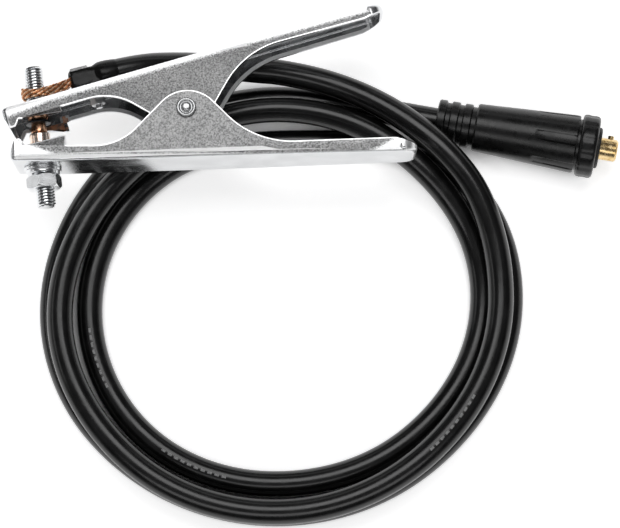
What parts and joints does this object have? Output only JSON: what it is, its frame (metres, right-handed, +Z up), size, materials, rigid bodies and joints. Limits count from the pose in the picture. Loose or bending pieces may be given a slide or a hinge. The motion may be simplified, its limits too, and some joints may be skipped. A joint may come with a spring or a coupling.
{
  "type": "welding work-return lead",
  "caption": "Work-return lead for arc welding: a sprung steel earth clamp with copper contacts, a coiled rubber cable and a bayonet cable plug.",
  "frame": {"origin": "on the resting surface, straight below the clamp's pivot axis, with the lead lying flat", "axes": "+Z up along the pivot axis, +X from the jaws to the handle ends along the lower handle, +Y from the lower handle to the upper one"},
  "size_m": [0.2603, 0.2157, 0.0562],
  "materials": {
    "zinc_plated_sheet": "zinc-plated pressed sheet, finely mottled",
    "bright_fastener": "bright zinc plate",
    "spring_steel": "bright drawn wire",
    "copper": "bare copper",
    "brass": "turned brass",
    "cable_rubber": "smooth, slightly glossy",
    "plug_rubber": "moulded, satin",
    "plug_plastic": "moulded, matt"
  },
  "bodies": {
    "upper_side": {"anchor_nut": "bright_fastener", "anchor_screw": "bright_fastener", "cable_coil": "cable_rubber", "cable_sleeve": "cable_rubber", "conductor_end": "copper", "copper_braid": "copper", "crimp_ferrule": "copper", "lead_to_clamp": "cable_rubber", "lead_to_plug": "cable_rubber", "pivot_bush": "bright_fastener", "pivot_rivet": "bright_fastener", "plug_body": "plug_rubber", "plug_boot": "plug_rubber", "plug_collar": "plug_rubber", "plug_grub_screw_1": "bright_fastener", "plug_grub_screw_2": "bright_fastener", "plug_insert": "plug_plastic", "plug_pin": "brass", "torsion_spring": "spring_steel", "upper_contact_bolt": "bright_fastener", "upper_contact_tip": "copper", "upper_handle": "zinc_plated_sheet", "upper_plain_washer": "bright_fastener"},
    "lower_side": {"lower_handle": "zinc_plated_sheet", "lower_contact_bolt": "bright_fastener", "lower_contact_tip": "copper", "lower_plain_washer": "bright_fastener", "lower_spring_washer": "bright_fastener", "lower_nut": "bright_fastener"}
  },
  "joints": [
    {"name": "jaw_hinge", "type": "hinge", "parent": "upper_side", "child": "lower_side", "pos_m": [0, 0, 0.0388], "axis": [0, 0, 1], "range_deg": [0, 30], "stiffness_Nm_per_rad": 3, "springref_deg": -68.75, "deforming": ["torsion_spring"]}
  ]
}
